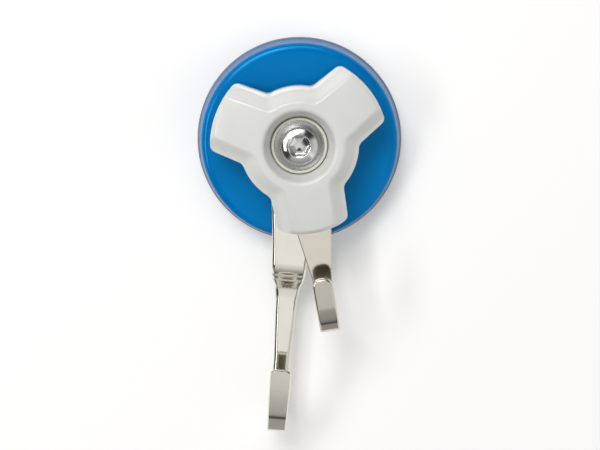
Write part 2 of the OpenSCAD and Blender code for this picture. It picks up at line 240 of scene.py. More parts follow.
def add_mesh(name, verts, faces, sharp_deg=40.0):
    """A smooth-shaded mesh object from millimetre points, with sharp edges where faces fold."""
    mesh = bpy.data.meshes.new(name)
    mesh.from_pydata([tuple(float(c) * MM for c in v) for v in verts], [], faces)
    mesh.validate()
    bm = bmesh.new()
    bm.from_mesh(mesh)
    bmesh.ops.recalc_face_normals(bm, faces=bm.faces)
    for f in bm.faces:
        f.smooth = True
    for e in bm.edges:
        if len(e.link_faces) == 2 and e.calc_face_angle(0.0) > math.radians(sharp_deg):
            e.smooth = False
    bm.to_mesh(mesh)
    bm.free()
    obj = bpy.data.objects.new(name, mesh)
    bpy.context.scene.collection.objects.link(obj)
    return obj


def join_rings(faces, first, second):
    """Adds the quads between two closed rings of point numbers."""
    n = len(first)
    for i in range(n):
        j = (i + 1) % n
        faces.append((first[i], first[j], second[j], second[i]))


def loft_rings(rings, closed):
    """Points and faces for rings of equal counts; closed joins the last ring to the first."""
    n = len(rings[0])
    verts = [p for ring in rings for p in ring]
    numbers = [range(i * n, (i + 1) * n) for i in range(len(rings))]
    faces = []
    for first, second in zip(numbers, numbers[1:]):
        join_rings(faces, first, second)
    if closed:
        join_rings(faces, numbers[-1], numbers[0])
    return verts, faces


def close_ends(verts, faces, n, first_z, last_z):
    """Closes the first and last ring of n points with a point on the axis at each end."""
    end = len(verts) - n
    first, last = len(verts), len(verts) + 1
    verts += [(0, 0, first_z), (0, 0, last_z)]
    for j in range(n):
        k = (j + 1) % n
        faces.append((first, k, j))
        faces.append((last, end + j, end + k))


def circle_ring(r, z, n):
    return [(r * math.cos(2 * math.pi * j / n), r * math.sin(2 * math.pi * j / n), z) for j in range(n)]


def arc_points(cr, cz, radius, a0, a1, steps):
    """Points (r, z) on an arc, by angle in degrees."""
    angles = [math.radians(a0 + (a1 - a0) * i / steps) for i in range(steps + 1)]
    return [(cr + radius * math.cos(a), cz + radius * math.sin(a)) for a in angles]


def lathe(name, profile, n=TURN_STEPS):
    """A closed profile of (r, z) turned about Z."""
    verts, faces = loft_rings([circle_ring(r, z, n) for r, z in profile], True)
    return add_mesh(name, verts, faces)


def capped_lathe(name, profile, n):
    """A profile of (r, z) turned about Z, which starts and ends on the axis."""
    verts, faces = loft_rings([circle_ring(r, z, n) for r, z in profile[1:-1]], False)
    close_ends(verts, faces, n, profile[0][1], profile[-1][1])
    return add_mesh(name, verts, faces)


# Housing and pad

def housing_edge():
    """Front edge from the side up to the face: a tight turn that opens into a wide one."""
    lean = 90 - math.degrees(EDGE_TURN)
    tight_z = FACE_Z - EDGE_WIDE_R + (EDGE_WIDE_R - EDGE_TIGHT_R) * math.cos(EDGE_TURN)
    wide_r = FRONT_R - EDGE_TIGHT_R + (EDGE_TIGHT_R - EDGE_WIDE_R) * math.sin(EDGE_TURN)
    points = arc_points(FRONT_R - EDGE_TIGHT_R, tight_z, EDGE_TIGHT_R, 2, lean, 12)
    return points + arc_points(wide_r, FACE_Z - EDGE_WIDE_R, EDGE_WIDE_R, lean, 90, 10)[1:]


def make_housing():
    """Shallow cup with a rounded front edge and the boss that the hooks swing on."""
    foot_z = LIP_Z + FOOT_ROUND
    seat_z = FACE_Z - SEAT_DEEP
    groove_r = BOSS_R - GROOVE_DEEP
    profile = [(FOOT_R - back, LIP_Z + up) for back, up in FOOT_EDGE]
    profile += [(FOOT_R - (FOOT_R - FRONT_R) * t, foot_z + (SIDE_TOP_Z - foot_z) * t) for t in (0.33, 0.66)]
    profile += housing_edge()
    profile += [(r, FACE_Z) for r in (*FACE_RINGS, SEAT_R)] + [(SEAT_R - SEAT_LEAN, seat_z)]
    profile += arc_points(BOSS_R + BOSS_ROOT_R, seat_z + BOSS_ROOT_R, BOSS_ROOT_R, -90, -180, 3)
    low, high = GROOVE_Z
    profile += [(BOSS_R, low), (groove_r, low), (groove_r, high), (BOSS_R, high)]
    profile += [(BOSS_R, BOSS_Z - BOSS_CHAMFER), (BOSS_R - BOSS_CHAMFER, BOSS_Z)]
    profile += [(BOSS_IN + BOSS_CHAMFER, BOSS_Z), (BOSS_IN, BOSS_Z - BOSS_CHAMFER)]
    profile += [(BOSS_IN, BOSS_FLOOR_Z), (STEM_HOLE_R, BOSS_FLOOR_Z), (STEM_HOLE_R, CEILING_Z)]
    profile += [(CUP_R - CUP_CHAMFER, CEILING_Z), (CUP_R, CEILING_Z - CUP_CHAMFER), (CUP_R, LIP_Z)]
    return lathe("housing_look", profile, WIDE_STEPS)


def make_pad():
    """Flat soft pad with a rounded lip that stands a little past the housing."""
    lip_r = LIP_Z / 2
    lip_top = LIP_Z - LIP_GAP
    profile = [(r, 0.0) for r in (0.0, *PAD_RINGS)]
    profile += arc_points(PAD_R - lip_r, lip_r, LIP_ROUND * lip_r, -90, 70, 10)
    profile += [(LIP_INNER_R, lip_top), (PLUG_R, lip_top), (PLUG_R, PAD_TOP_Z - PLUG_CHAMFER)]
    profile += [(r, PAD_TOP_Z) for r in (PLUG_R - PLUG_CHAMFER, PLUG_RING, 0.0)]
    return capped_lathe("pad_look", profile, WIDE_STEPS)


# Knob

def smooth_min(a, b, k):
    """The lower of two heights, blended over a band of k where they cross."""
    h = np.maximum(k - np.abs(a - b), 0.0) / k
    return np.minimum(a, b) - h * h * k * 0.25


def smooth_max(a, b, k):
    return -smooth_min(-a, -b, k)


def lobe_sides(r, theta, i):
    """Distances inside one lobe's side and end."""
    a = theta - math.radians(LOBE_ANGLE + 360 / LOBE_COUNT * i)
    x, y = r * np.cos(a), r * np.sin(a)
    side = LOBE_HALF + LOBE_TAPER * (LOBE_MID_R - x) - np.abs(y)
    return np.where(x > 0, side, BEHIND_LOBE), LOBE_REACH - r


def knob_depth(r, theta):
    """Distance inside the knob's outline, with the lobes' corners rounded."""
    depth = HUB_R - r
    for i in range(LOBE_COUNT):
        side, end = lobe_sides(r, theta, i)
        corner = CORNER_R - np.hypot(np.maximum(CORNER_R - side, 0.0), np.maximum(CORNER_R - end, 0.0))
        lobe = np.where((side < CORNER_R) & (end < CORNER_R), corner, np.minimum(side, end))
        depth = smooth_max(depth, lobe, PLAN_BLEND)
    return depth


def wall_rise(d):
    """Height of a wall against the top: a rounded rim, a narrow low shelf, then a straight slope."""
    d = np.maximum(d, 0.0)
    slope = (WALL_RISE - SHELF_WIDE * SHELF_SLOPE) / (WALL_WIDE - SHELF_WIDE)
    wall = smooth_max(SHELF_SLOPE * d - WALL_RISE, slope * (d - WALL_WIDE), SHELF_BLEND)
    return wall - RIM_DROP * np.exp(-d / RIM_R)


def knob_height(r, theta):
    """Height of the knob's skin: a top that falls along the lobes, cut by the walls round hub and lobes."""
    along = np.maximum(r - MOUTH_R, 0.0) / (LOBE_REACH - MOUTH_R)
    top = KNOB_TOP_Z - LOBE_FALL * along ** FALL_POWER
    wall = wall_rise(HUB_R - r)
    for i in range(LOBE_COUNT):
        side, end = lobe_sides(r, theta, i)
        lobe = smooth_min(wall_rise(side), END_Z - top + END_SLOPE * end, END_BLEND)
        wall = smooth_max(wall, lobe, WALL_BLEND)
    return top + smooth_min(np.zeros_like(r), wall, TOP_BLEND)


def radius_at_depth(level, theta):
    """Radius along each ray where the knob is that deep inside its outline."""
    low, high = (np.full_like(theta, r) for r in SEARCH_R)
    for _ in range(40):
        mid = (low + high) / 2
        inside = knob_depth(mid, theta) > level
        low = np.where(inside, mid, low)
        high = np.where(inside, high, mid)
    return (low + high) / 2


def mouth_points():
    """The dish from the knob's top down: a rounded mouth, then a straight leaning wall."""
    foot_r = DISH_R - 0.1
    lean = math.atan2(MOUTH_DEEP, MOUTH_EDGE - foot_r)
    start = MOUTH_EDGE + MOUTH_ROUND * math.tan(lean / 2)
    points = []
    for i in range(MOUTH_STEPS + 1):
        a = lean * i / MOUTH_STEPS
        points.append((start - MOUTH_ROUND * math.sin(a), KNOB_TOP_Z - MOUTH_ROUND * (1 - math.cos(a))))
    for t in (0.5, 0.75, 1.0):
        points.append((MOUTH_EDGE + t * (foot_r - MOUTH_EDGE), KNOB_TOP_Z - t * MOUTH_DEEP))
    return points


def make_knob(n=KNOB_STEPS):
    """Three-lobed knob: leaning walls, a soft top, a deep dish for the washer, hollow underneath."""
    theta = np.arange(n) * 2 * math.pi / n
    edge = radius_at_depth(0.0, theta)
    rim = knob_height(edge, theta)
    skirt = [(edge - back, KNOB_FOOT_Z + up) for back, up in KNOB_FOOT]
    skirt += [(edge, KNOB_FOOT_Z + SKIRT_PART * (rim - KNOB_FOOT_Z))]
    radii = [radius_at_depth(level, theta) for level in WALL_LEVELS]
    start = radii[-1]
    radii += [start + (TOP_INNER_R - start) * i / TOP_STEPS for i in range(1, TOP_STEPS + 1)]
    skin = [(r, knob_height(r, theta)) for r in radii]
    bore = [(DISH_R, DISH_Z), (NECK_R, DISH_Z), (NECK_R, NECK_Z)]
    bore += [(KNOB_BORE, NECK_Z), (KNOB_BORE, KNOB_UNDER_Z)]
    core = [(CORE_R - 0.2, KNOB_UNDER_Z), (CORE_R, KNOB_UNDER_Z + 0.2), (CORE_R + 0.1, HOLLOW_EDGE_Z)]
    core += [(CORE_R + 0.5, HOLLOW_Z)]
    inner = [(radius_at_depth(level, theta), z) for level, z in HOLLOW]
    rings = []
    for r, z in skirt + skin + mouth_points() + bore + core + inner:
        r, z = np.broadcast_to(r, n), np.broadcast_to(z, n)
        rings.append(np.stack([r * np.cos(theta), r * np.sin(theta), z], 1).tolist())
    verts, faces = loft_rings(rings, True)
    return add_mesh("knob_look", verts, faces, 50.0)


# Hooks

def walk_path(start, moves):
    """Stations (u, s, z, heading) along a strip's middle: lines by length, arcs by middle radius and turn."""
    u, s, z, h = start
    out = [(u, s, z, h)]
    for kind, a, b in moves:
        if kind == "line":
            steps = max(1, int(a / 3.0))
            for _ in range(steps):
                u, s, z = u + a / steps, s + math.cos(h) * a / steps, z + math.sin(h) * a / steps
                out.append((u, s, z, h))
        else:
            steps = max(4, int(abs(b) / 3.0))
            turn = math.radians(b) / steps
            chord = 2 * a * math.sin(abs(turn) / 2)
            for _ in range(steps):
                mid = h + turn / 2
                u, s, z = u + a * abs(turn), s + math.cos(mid) * chord, z + math.sin(mid) * chord
                h += turn
                out.append((u, s, z, h))
    return out


def path_point(stations, u):
    """Place (s, z, heading) at a length u along the strip."""
    if u <= stations[0][0]:
        return stations[0][1] + u - stations[0][0], stations[0][2], stations[0][3]
    for p, q in zip(stations, stations[1:]):
        if u <= q[0] + 1e-9:
            t = (u - p[0]) / (q[0] - p[0])
            return tuple(p[i] + (q[i] - p[i]) * t for i in (1, 2, 3))
    return stations[-1][1:]


def row_width(rows, s):
    """Half width at a distance s from the pivot, from rows of (s, half width)."""
    for p, q in zip(rows, rows[1:]):
        if s <= q[0]:
            return p[1] + (q[1] - p[1]) * max(0.0, s - p[0]) / (q[0] - p[0])
    return rows[-1][1]


def inset(loop, d):
    """A closed plan outline moved inwards by d; the loop runs anticlockwise."""
    out = []
    n = len(loop)
    for i in range(n):
        p0, p1, p2 = (np.array(loop[(i + k) % n]) for k in (-1, 0, 1))
        e1 = (p1 - p0) / np.linalg.norm(p1 - p0)
        e2 = (p2 - p1) / np.linalg.norm(p2 - p1)
        n1, n2 = np.array([-e1[1], e1[0]]), np.array([-e2[1], e2[0]])
        m = n1 + n2
        m = m / max(0.5, float(np.dot(m, n1)))
        out.append(tuple(p1 + m * d))
    return out


def edge_profile(wide, lean=0, side=0.75, face=0.12):
    """Points (inset, drop) over a strip's edge: a turn off the face, a bevel at an angle and a round side.

    With no angle, the edge is a quarter round."""
    points = [(wide + 0.05, 0.0)]
    if not lean:
        turns = np.radians(range(0, 91, 15))
        return points + [(wide * (1 - math.sin(a)), wide * (1 - math.cos(a))) for a in turns]
    lean = math.radians(lean)
    points += [(wide - face * math.sin(a), face * (1 - math.cos(a))) for a in np.linspace(0.0, lean, 5)]
    run = (wide - face * math.sin(lean) - side * (1 - math.sin(lean))) / math.cos(lean)
    drop = face * (1 - math.cos(lean)) + run * math.sin(lean)
    return points + [(side * (1 - math.sin(a)), drop + side * (math.cos(lean) - math.cos(a)))
                     for a in np.linspace(lean, math.pi / 2, 6)]


def eye_side(rows):
    """Points on one side of the eye, up to where the strip's straight edge takes over."""
    slope = (rows[0][1] - rows[1][1]) / (rows[1][0] - rows[0][0])
    points = []
    for i in range(EYE_STEPS):
        a = math.pi * (1 - i / EYE_STEPS)
        reach = EYE_R
        if a < math.pi / 2:
            reach = max(EYE_R, rows[0][1] / (math.sin(a) + slope * math.cos(a)))
        if reach * math.cos(a) > FIRST_RUNG - 0.6:
            break
        points.append((reach * math.cos(a), reach * math.sin(a)))
    return points


def strip_side(stations, rows, end_half, end_corner):
    """Points on one side of the flat strip, from its first rung to the flat of its rounded end."""
    u_end = stations[-1][0]
    u_bend = max(st[0] for st in stations if st[3] < J_HEADING)
    u_corner = u_end - end_corner

    def half_at(u):
        if u > u_bend:
            return end_half[0] + (end_half[1] - end_half[0]) * (u - u_bend) / (u_end - u_bend)
        return row_width(rows, path_point(stations, u)[0])

    between = [st[0] for st in stations if FIRST_RUNG + 0.8 < st[0] < u_corner - 0.3]
    points = [(u, half_at(u)) for u in sorted({FIRST_RUNG, *between, u_corner})]
    for i in range(1, 11):
        a = math.radians(9 * i)
        narrower = end_corner * (1 - math.cos(a))
        points.append((u_corner + end_corner * math.sin(a), half_at(u_corner) - narrower))
    return points


def ring_at(verts, around, r, w):
    """Adds a round ring at height w, in line with the given points as seen from the pivot."""
    ring = []
    for number in around:
        a = math.atan2(verts[number][1], verts[number][0])
        verts.append((r * math.cos(a), r * math.sin(a), w))
        ring.append(len(verts) - 1)
    return ring


def cover_face(verts, faces, base, count, first, last):
    """Closes one face of a flat blank, whose outline starts at base, and returns the edge of the eye's bore.

    Rungs run across the strip between points first and last of one side and their mirror images."""

    def mirror(i):
        return base + (count - i) % count

    for i in range(first + 1, last):
        faces.append((base + i, base + i + 1, mirror(i + 1), mirror(i)))
    start, end = np.array(verts[base + first]), np.array(verts[mirror(first)])
    rung = []
    for i in range(1, RUNG_STEPS + 1):
        verts.append(tuple(start + (end - start) * i / (RUNG_STEPS + 1)))
        rung.append(len(verts) - 1)
    faces.append((base + first, *rung, mirror(first), mirror(first + 1), base + first + 1))
    around = [base + i for i in range(first, -1, -1)] + [mirror(i) for i in range(1, first + 1)] + rung[::-1]
    bore = ring_at(verts, around, EYE_BORE + BORE_ROUND, verts[base][2])
    join_rings(faces, around, bore)
    return bore


def make_hook(name, angle, z_mid, moves, rows, end_half, end_corner, edges):
    """A bent flat strip with shaped edges and a round eye, cut as one flat blank and then bent."""
    stations = walk_path((0.0, 0.0, z_mid, 0.0), moves)
    eye = eye_side(rows)
    side = [(u, -v) for u, v in eye + strip_side(stations, rows, end_half, end_corner)]
    loop = side + [(u, -v) for u, v in reversed(side[1:])]
    half_t = STRIP_T / 2
    under, over = (edge_profile(*edge) for edge in edges)
    levels = [(d, drop - half_t) for d, drop in under] + [(d, half_t - drop) for d, drop in reversed(over)]
    verts, faces = loft_rings([[(u, v, w) for u, v in inset(loop, d)] for d, w in levels], False)
    bases = (0, len(verts) - len(loop))
    low, high = (cover_face(verts, faces, base, len(loop), len(eye), len(side) - 1) for base in bases)
    round_in = ((BORE_TURN, half_t - BORE_TURN), (0.0, half_t - BORE_ROUND))
    bore = [(out, -w) for out, w in round_in] + list(reversed(round_in))
    chain = [low] + [ring_at(verts, low, EYE_BORE + out, w) for out, w in bore] + [high]
    for first, second in zip(chain, chain[1:]):
        join_rings(faces, first, second)
    phi = math.radians(angle)
    bent = []
    for u, v, w in verts:
        s, z, h = path_point(stations, u)
        s -= math.sin(h) * w
        x, y = s * math.sin(phi) + v * math.cos(phi), v * math.sin(phi) - s * math.cos(phi)
        bent.append((x, y, z + math.cos(h) * w))
    return add_mesh(name, bent, faces, 60.0)


def end_moves(at, reach, tip, rise, back, web, bends):
    """The J at a hook's end, from the distance already walked along the wall.

    A back bend, an upright, a leaning web, then bends by middle radius and heading, and the arm."""
    h = math.radians(WEB_LEAN)
    s = reach - STRIP_T / 2 + WEB_BEND * (math.sin(h) - 1) + web * math.cos(h)
    z = web * math.sin(h) - WEB_BEND * math.cos(h)
    moves = [("arc", WEB_BEND, WEB_LEAN - 90), ("line", web, 0)]
    for radius, heading in bends:
        to = math.radians(heading)
        s += radius * (math.sin(to) - math.sin(h))
        z += radius * (math.cos(h) - math.cos(to))
        moves.append(("arc", radius, math.degrees(to - h)))
        h = to
    arm = (reach - tip - s) / math.cos(h)
    upright = rise - back - z - arm * math.sin(h)
    flat = reach - STRIP_T / 2 - back - at
    return [("line", flat, 0), ("arc", back, 90), ("line", upright, 0)] + moves + [("line", arm, 0)]


def step_moves():
    """The long hook's step towards the wall, with two ripples pressed across it."""
    first, second = STEP_BENDS
    ripple = [("arc", RIPPLE_R, RIPPLE_ANGLE), ("arc", RIPPLE_R, -RIPPLE_ANGLE)]
    upper = [("line", STEP_AT, 0), ("arc", first, -STEP_ANGLE), ("line", RIPPLE_START, 0)] + ripple
    upper += [("line", RIPPLE_GAP, 0)] + ripple
    last = ("arc", second, STEP_ANGLE)
    missing = STEP_DROP + walk_path((0.0, 0.0, 0.0, 0.0), upper + [last])[-1][2]
    return upper + [("line", missing / math.sin(math.radians(STEP_ANGLE)), 0), last]


def make_long_hook():
    """Long hook, behind: a wide strap, a rippled step and a narrow strip with a tall J."""
    moves = step_moves()
    step_end = walk_path((0.0, 0.0, 0.0, 0.0), moves)[-1][1]
    moves += end_moves(step_end, LONG_REACH, LONG_TIP, LONG_RISE, LONG_BACK_R, LONG_WEB, LONG_BENDS)
    past, half = STEP_FOOT
    rows = [*LONG_STRAP, (step_end + past, half), *LONG_STRIP]
    shape = (rows, LONG_END_HALF, LONG_CORNER, LONG_EDGES)
    return make_hook("long_hook_look", LONG_ANGLE, LONG_Z, moves, *shape)


def make_short_hook():
    """Short hook, in front: one tapering strap with a round-ended J."""
    moves = end_moves(0.0, SHORT_REACH, SHORT_TIP, SHORT_RISE, SHORT_BACK_R, SHORT_WEB, SHORT_BENDS)
    shape = ([(0, ROOT_HALF), *SHORT_STRIP], SHORT_END_HALF, SHORT_CORNER, SHORT_EDGES)
    return make_hook("short_hook_look", SHORT_ANGLE, SHORT_Z, moves, *shape)


# Screw and its washer

def make_washer():
    """Plated washer with a rolled rim and a face that dishes down towards the screw."""
    z0, z1 = WASHER_Z
    face_r, face_z = WASHER_RIM_R - WASHER_DISH_TOP[0], z1 + WASHER_DISH_TOP[1]
    step_r, step_z = WASHER_DISH_STEP
    profile = [(WASHER_BORE, z0)] + [(WASHER_R - back, z0 + up) for back, up in WASHER_EDGE]
    profile += [(WASHER_R, z1 - 0.1)] + [(WASHER_RIM_R - back, z1 + up) for back, up in WASHER_RIM]
    profile += [(face_r - step_r * i, face_z - step_z * i) for i in range(WASHER_DISH_STEPS)]
    profile += [(4.6, z1 - 0.02), (WASHER_BORE + 0.2, z1 - 0.02), (WASHER_BORE, z1 - 0.2)]
    return lathe("screw_washer_look", profile)


def make_washer_ring():
    """Pale ring pressed round the washer's rim."""
    z = WASHER_Z[1] - 0.25
    inner = WASHER_RIM_R + 0.06
    profile = [(inner, z - 0.05), (WASHER_R + 0.02, z - 0.05), (WASHER_R + 0.04, z + 0.7)]
    profile += [(WASHER_R - 0.02, z + 0.86), (WASHER_R - 0.14, z + 0.94), (WASHER_R - 0.3, z + 0.96)]
    profile += [(inner + 0.3, z + 0.95), (inner + 0.16, z + 0.92), (inner + 0.04, z + 0.84), (inner, z + 0.7)]
    return lathe("washer_ring_look", profile)


def hexagon_ring(flat, z, n):
    """A ring of points on a hexagon, by the distance of its flats from the axis."""
    ring = []
    for j in range(n):
        t = 2 * math.pi * j / n
        r = flat / math.cos(t % (math.pi / 3) - math.pi / 6)
        ring.append((r * math.cos(t), r * math.sin(t), z))
    return ring


def dome_points():
    """The head's dome from its flat top to its side: a wide arc, then a small round edge."""
    low, high = DOME_TURN
    edge_r = DOME_R - DOME_EDGE_R / 2
    dome = (edge_r - DOME_TOP_R) / (math.sin(high) - math.sin(low))
    points = []
    for i in range(9):
        a = low + (high - low) * i / 8
        r = DOME_TOP_R + dome * (math.sin(a) - math.sin(low))
        points.append((r, HEAD_Z[1] - dome * (math.cos(low) - math.cos(a))))
    edge_z = points[-1][1]
    for a in np.radians((45, 60, 75, 90)):
        r = edge_r + DOME_EDGE_R * (math.sin(a) - math.sin(high))
        points.append((r, edge_z - DOME_EDGE_R * (math.cos(high) - math.cos(a))))
    return points


def make_screw(n=SCREW_STEPS):
    """Button-headed socket screw: low dome, chamfered six-sided recess and a plain shank."""
    z0, z1 = HEAD_Z
    flat = HEX_FLAT / 2 + HEX_WIDER
    floor_z = z1 - HEX_DEEP
    recess = [(scale, floor_z + up) for scale, up in RECESS_FLOOR]
    recess += [(scale, z1 - deep) for scale, deep in RECESS_MOUTH]
    rings = [hexagon_ring(flat * scale, z, n) for scale, z in recess]
    profile = [(DOME_TOP_R - 0.12, z1 - 0.04), (DOME_TOP_R - 0.06, z1 - 0.01)] + dome_points()
    profile += [(DOME_R, z0 - 0.5), (DOME_R - 0.1, z0 - 0.6), (SHANK_R + 0.22, z0 - 0.6), (SHANK_R, z0 - 0.9)]
    profile += [(SHANK_R, SHANK_Z + 0.45), (SHANK_R - 0.48, SHANK_Z)]
    rings += [circle_ring(r, z, n) for r, z in profile]
    verts, faces = loft_rings(rings, False)
    close_ends(verts, faces, n, floor_z - 0.3, SHANK_Z)
    return add_mesh("cap_screw_look", verts, faces, 35.0)


# Shader nodes

def link(nodes, a, a_out, b, b_in):
    nodes.id_data.links.new(a.outputs[a_out], b.inputs[b_in])


def math_node(nodes, operation, *sources):
    """A math node fed by (node, output) pairs."""
    node = nodes.new("ShaderNodeMath")
    node.operation = operation
    for i, source in enumerate(sources):
        link(nodes, *source, node, i)
    return node


def vector_node(nodes, operation, source, other=None):
    """A vector math node fed by a (node, output) pair, with a fixed second vector where it needs one."""
    node = nodes.new("ShaderNodeVectorMath")
    node.operation = operation
    link(nodes, *source, node, 0)
    if other:
        node.inputs[1].default_value = other
    return node


def map_range(nodes, source, span, levels=(0.0, 1.0), smooth=True):
    """A node that maps a (node, output) pair from one span to another."""
    node = nodes.new("ShaderNodeMapRange")
    node.interpolation_type = "SMOOTHSTEP" if smooth else "LINEAR"
    for name, value in zip(("From Min", "From Max", "To Min", "To Max"), (*span, *levels)):
        node.inputs[name].default_value = value
    link(nodes, *source, node, "Value")
    return node


# Materials

def base_material(name, color, rough, metallic=0.0):
    """A principled material in one colour, with its nodes, shader and texture coordinates."""
    mat = bpy.data.materials.new(name)
    mat.use_nodes = True
    nodes = mat.node_tree.nodes
    shader = nodes["Principled BSDF"]
    shader.inputs["Base Color"].default_value = (*color, 1.0)
    shader.inputs["Roughness"].default_value = rough
    shader.inputs["Metallic"].default_value = metallic
    coord = nodes.new("ShaderNodeTexCoord")
    return mat, nodes, shader, coord


def noise(nodes, coord, scale, detail=4.0, rough=0.55, stretch=None):
    """Noise over the piece, stretched along its axes where a scale is given."""
    tex = nodes.new("ShaderNodeTexNoise")
    tex.inputs["Scale"].default_value = scale
    tex.inputs["Detail"].default_value = detail
    tex.inputs["Roughness"].default_value = rough
    if stretch:
        mapping = nodes.new("ShaderNodeMapping")
        mapping.inputs["Scale"].default_value = stretch
        link(nodes, coord, "Object", mapping, "Vector")
        link(nodes, mapping, "Vector", tex, "Vector")
    else:
        link(nodes, coord, "Object", tex, "Vector")
    return tex


NOISE_SPAN = (0.3, 0.7)


def tint_by(nodes, shader, tex, color, darker, lighter):
    """Lets noise move the colour between a darker and a lighter tone of it."""
    ramp = nodes.new("ShaderNodeValToRGB")
    for element, at, f in zip(ramp.color_ramp.elements, NOISE_SPAN, (darker, lighter)):
        element.position = at
        element.color = (*(min(1.0, c * f) for c in color), 1)
    link(nodes, tex, "Fac", ramp, "Fac")
    link(nodes, ramp, "Color", shader, "Base Color")


def rough_by(nodes, shader, tex, low, high):
    """Lets noise move the roughness between two values."""
    span = map_range(nodes, (tex, "Fac"), NOISE_SPAN, (low, high), smooth=False)
    link(nodes, span, "Result", shader, "Roughness")


def bump_by(nodes, shader, tex, strength, depth_mm):
    """Lets noise dent the surface."""
    bump = nodes.new("ShaderNodeBump")
    bump.inputs["Strength"].default_value = strength
    bump.inputs["Distance"].default_value = depth_mm * MM
    link(nodes, tex, "Fac", bump, "Height")
    link(nodes, bump, "Normal", shader, "Normal")


def moulded(name, color, rough, grain=900.0, depth=0.02):
    """Moulded plastic: faint clouding of the colour and a fine moulded skin."""
    mat, nodes, shader, coord = base_material(name, color, rough)
    skin = noise(nodes, coord, grain, 3.0)
    tint_by(nodes, shader, noise(nodes, coord, 60.0, 3.0), color, 0.97, 1.03)
    rough_by(nodes, shader, skin, rough * 0.9, rough * 1.12)
    bump_by(nodes, shader, skin, 0.12, depth)
    return mat


def plated(name, color, rough, grain=900.0, strength=0.2, uneven=0.22, stretch=None):
    """Plated or bare metal: slight clouding, uneven polish and fine marks."""
    mat, nodes, shader, coord = base_material(name, color, rough, 1.0)
    marks = noise(nodes, coord, grain, 5.0, 0.6, stretch)
    tint_by(nodes, shader, noise(nodes, coord, 90.0), color, 0.96, 1.03)
    rough_by(nodes, shader, marks, rough * (1 - uneven), rough * (1 + uneven))
    bump_by(nodes, shader, marks, strength, 0.01)
    return mat


def nickel(name, color):
    """Bright nickel with faint marks along the strip."""
    return plated(name, color, 0.09, 500.0, 0.05, stretch=(1.0, 0.25, 1.0))


def soften(mat, weight, radius, depth_mm):
    """Lets light spread a little way inside the material."""
    inputs = mat.node_tree.nodes["Principled BSDF"].inputs
    inputs["Subsurface Weight"].default_value = weight
    inputs["Subsurface Radius"].default_value = radius
    inputs["Subsurface Scale"].default_value = depth_mm * MM


def dull_and_shade_sides(mat, face, side, shade):
    """Duller polish on upright sides than on faces that look up or down, with painted shade that deepens the
    colour of the upright sides.
    """
    nodes = mat.node_tree.nodes
    shader = nodes["Principled BSDF"]
    geometry = nodes.new("ShaderNodeNewGeometry")
    parts = nodes.new("ShaderNodeSeparateXYZ")
    link(nodes, geometry, "Normal", parts, "Vector")
    level = math_node(nodes, "ABSOLUTE", (parts, "Z"))
    turn = (0.25, 0.7)
    polish = map_range(nodes, (level, "Value"), turn, (side, face))
    link(nodes, polish, "Result", shader, "Roughness")
    tone = map_range(nodes, (level, "Value"), turn, (shade, 1.0))
    source = shader.inputs["Base Color"].links[0].from_node
    painted_shade = vector_node(nodes, "SCALE", (source, "Color"))
    link(nodes, tone, "Result", painted_shade, "Scale")
    link(nodes, painted_shade, "Vector", shader, "Base Color")


def blue_plastic():
    """Glossy blue that glows a little from inside."""
    rough = 0.14
    mat = moulded("blue_plastic", (0.0003, 0.180, 0.505), rough, 500.0, 0.01)
    inputs = mat.node_tree.nodes["Principled BSDF"].inputs
    inputs["Specular Tint"].default_value = (0.07, 0.62, 1.0, 1.0)
    inputs["Specular IOR Level"].default_value = 0.65
    soften(mat, 0.3, (0.02, 0.35, 1.0), 4.0)
    # Upright sides: rougher, and painted shade scales their colour down to 0.7 of the face's
    dull_and_shade_sides(mat, rough, 0.28, 0.7)
    return mat


def white_plastic():
    mat = moulded("white_plastic", (0.745, 0.747, 0.722), 0.21, 700.0, 0.008)
    soften(mat, 0.12, (1.0, 0.9, 0.8), 0.8)
    return mat


def grey_pad():
    mat = moulded("grey_pad", (0.215, 0.25, 0.325), 0.4, 400.0, 0.01)
    soften(mat, 0.3, (1.0, 1.0, 1.1), 1.0)
    return mat


looks = {
    "housing_blue": blue_plastic(),
    "knob_white": white_plastic(),
    "pad_soft": grey_pad(),
    "hook_nickel": nickel("bright_nickel", (0.80, 0.775, 0.70)),
    "screw_plate": plated("zinc_plate", (0.66, 0.665, 0.665), 0.13, strength=0.12),
    "plain_steel": plated("plain_steel", (0.50, 0.50, 0.50), 0.32),
    "stem_brass": plated("stem_brass", (0.72, 0.52, 0.22), 0.3),
    "nylon": moulded("nylon", (0.78, 0.76, 0.70), 0.45),
    "sleeve_plastic": moulded("sleeve_plastic", (0.70, 0.70, 0.67), 0.4),
    "cam_plastic": moulded("cam_plastic", (0.035, 0.037, 0.04), 0.42),
}
# Painted shade: a darker, warmer copy of the hook nickel that dims the short hook's reflections
shaded_nickel = nickel("shaded_nickel", (0.675, 0.635, 0.565))
dull_plate = plated("dull_plate", (0.50, 0.50, 0.485), 0.27, strength=0.02, uneven=0.06)
ring_cream = moulded("ring_cream", (0.68, 0.665, 0.58), 0.42, 500.0, 0.01)

slots = {part["node"]: part["material_slot"] for part in frame["record"]["subparts"]}
for node, obj in frame["nodes"].items():
    obj.data.materials.clear()
    obj.data.materials.append(looks[slots[node]])


# Pieces

def place(obj, body, node, look=None):
    """Gives a piece its material and body, and hides the CAD node that it stands for."""
    obj.data.materials.append(look or looks[slots[node]])
    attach(obj, body)
    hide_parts(node)


place(make_housing(), "base", "housing")
place(make_pad(), "base", "suction_pad")
place(make_knob(), "knob", "knob")
place(make_long_hook(), "long_hook", "long_hook")
place(make_short_hook(), "short_hook", "short_hook", shaded_nickel)
place(make_washer(), "lifter", "screw_washer", dull_plate)
place(make_washer_ring(), "lifter", "screw_washer", ring_cream)
place(make_screw(), "lifter", "cap_screw")


# Floor, in metres

FLOOR_HALF = 6.0
FLOOR_Z = -0.0003
FLOOR_COLOR = (0.95, 0.945, 0.94)
GLOW_REACH = (0.12, 0.9)
GLOW_LEVELS = (0.13, 0.8)


